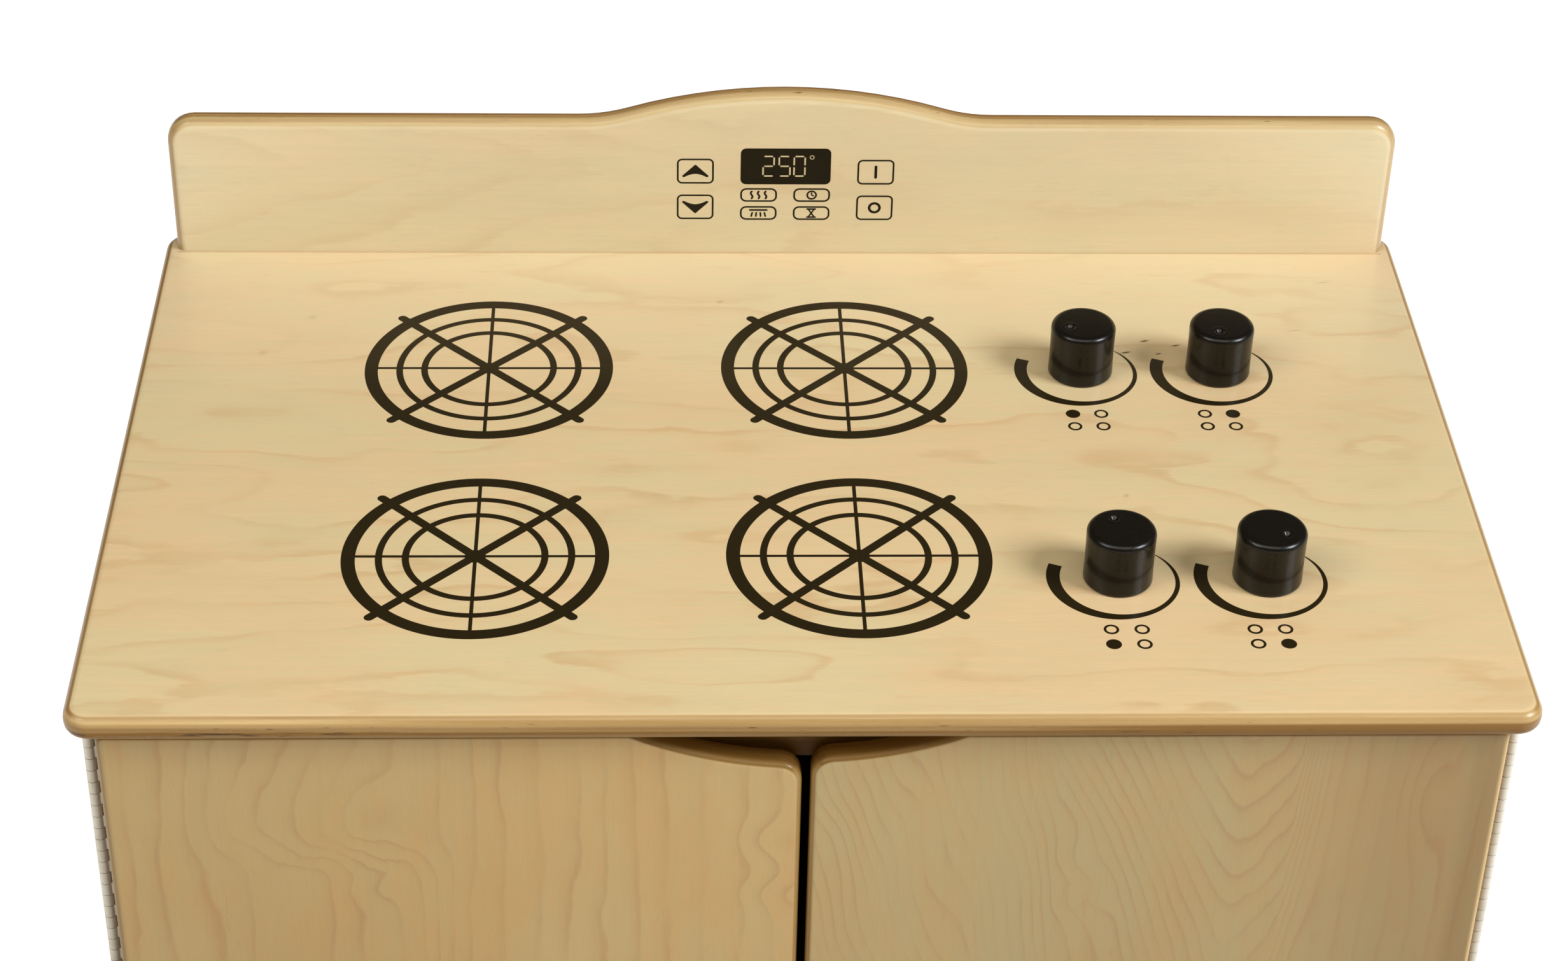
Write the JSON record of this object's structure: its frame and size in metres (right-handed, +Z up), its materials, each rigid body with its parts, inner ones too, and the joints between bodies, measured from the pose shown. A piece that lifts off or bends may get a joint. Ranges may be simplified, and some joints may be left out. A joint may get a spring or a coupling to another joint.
{
  "type": "play stove",
  "caption": "Child-height plywood play stove with printed burners, turning knobs, an arched backsplash and a cupboard behind twin side-hung doors.",
  "frame": {"origin": "floor level, in the middle of the plan outline", "axes": "+Z up, +Y towards the back, +X to the right of someone facing the doors"},
  "size_m": [0.6096, 0.381, 0.6982],
  "materials": {
    "birch_top": "clear satin lacquer on pale birch plywood, ply lines on the rounded edges",
    "birch_door": "clear satin lacquer on birch plywood, vertical figure",
    "birch_side": "clear satin lacquer on birch plywood",
    "birch_inner": "thin clear lacquer on birch plywood",
    "beech_solid": "plain sanded solid beech",
    "black_vinyl": "glossy dip-moulded vinyl",
    "printed_ink": "thin matt dark brown print",
    "display_segments": "pale print of plain seven-segment numerals",
    "nickel_hinge": "satin nickel plate",
    "zinc_steel": "bright zinc plate",
    "white_nylon": "moulded nylon",
    "ferrite": "dark ferrite magnet"
  },
  "bodies": {
    "root": {"worktop": "birch_top", "backsplash": "birch_top", "left_side_panel": "birch_side", "right_side_panel": "birch_side", "bottom_panel": "birch_inner", "middle_shelf": "birch_inner", "back_panel": "birch_inner", "front_top_rail": "birch_inner", "rear_top_rail": "birch_inner", "toe_board": "birch_inner", "left_cleat": "beech_solid", "right_cleat": "beech_solid", "case_dowels": "beech_solid", "shelf_pins": "zinc_steel", "cleat_screws": "zinc_steel", "top_screws": "zinc_steel", "backsplash_screws": "zinc_steel", "back_panel_screws": "zinc_steel", "left_hinge_case_leaf": "nickel_hinge", "right_hinge_case_leaf": "nickel_hinge", "left_hinge_pin": "zinc_steel", "right_hinge_pin": "zinc_steel", "hinge_case_screws": "nickel_hinge", "catch_housings": "white_nylon", "catch_magnets": "ferrite", "catch_pole_plates": "zinc_steel", "catch_screws": "zinc_steel", "knob_bearing_washers": "white_nylon"},
    "left_door": {"left_door": "birch_door", "left_hinge_door_leaf": "nickel_hinge", "left_hinge_door_screws": "nickel_hinge", "left_strike_plate": "zinc_steel", "left_strike_screw": "zinc_steel"},
    "right_door": {"right_door": "birch_door", "right_hinge_door_leaf": "nickel_hinge", "right_hinge_door_screws": "nickel_hinge", "right_strike_plate": "zinc_steel", "right_strike_screw": "zinc_steel"},
    "knob_back_left": {"knob_back_left_cap": "black_vinyl", "knob_back_left_core": "beech_solid", "knob_back_left_stud": "zinc_steel", "knob_back_left_washer": "zinc_steel", "knob_back_left_nut": "zinc_steel"},
    "knob_back_right": {"knob_back_right_cap": "black_vinyl", "knob_back_right_core": "beech_solid", "knob_back_right_stud": "zinc_steel", "knob_back_right_washer": "zinc_steel", "knob_back_right_nut": "zinc_steel"},
    "knob_front_left": {"knob_front_left_cap": "black_vinyl", "knob_front_left_core": "beech_solid", "knob_front_left_stud": "zinc_steel", "knob_front_left_washer": "zinc_steel", "knob_front_left_nut": "zinc_steel"},
    "knob_front_right": {"knob_front_right_cap": "black_vinyl", "knob_front_right_core": "beech_solid", "knob_front_right_stud": "zinc_steel", "knob_front_right_washer": "zinc_steel", "knob_front_right_nut": "zinc_steel"}
  },
  "joints": [
    {"name": "left_door_hinge", "type": "hinge", "parent": "root", "child": "left_door", "pos_m": [-0.2978, -0.1704, 0.3266], "axis": [0, 0, -1], "range_deg": [0, 180]},
    {"name": "right_door_hinge", "type": "hinge", "parent": "root", "child": "right_door", "pos_m": [0.2978, -0.1704, 0.3266], "axis": [0, 0, 1], "range_deg": [0, 180]},
    {"name": "knob_back_left_turn", "type": "hinge", "parent": "root", "child": "knob_back_left", "pos_m": [0.1368, 0.0656, 0.6096], "axis": [0, 0, 1], "continuous": true},
    {"name": "knob_back_right_turn", "type": "hinge", "parent": "root", "child": "knob_back_right", "pos_m": [0.2018, 0.0656, 0.6096], "axis": [0, 0, 1], "continuous": true},
    {"name": "knob_front_left_turn", "type": "hinge", "parent": "root", "child": "knob_front_left", "pos_m": [0.1368, -0.0954, 0.6096], "axis": [0, 0, 1], "continuous": true},
    {"name": "knob_front_right_turn", "type": "hinge", "parent": "root", "child": "knob_front_right", "pos_m": [0.2018, -0.0954, 0.6096], "axis": [0, 0, 1], "continuous": true}
  ]
}
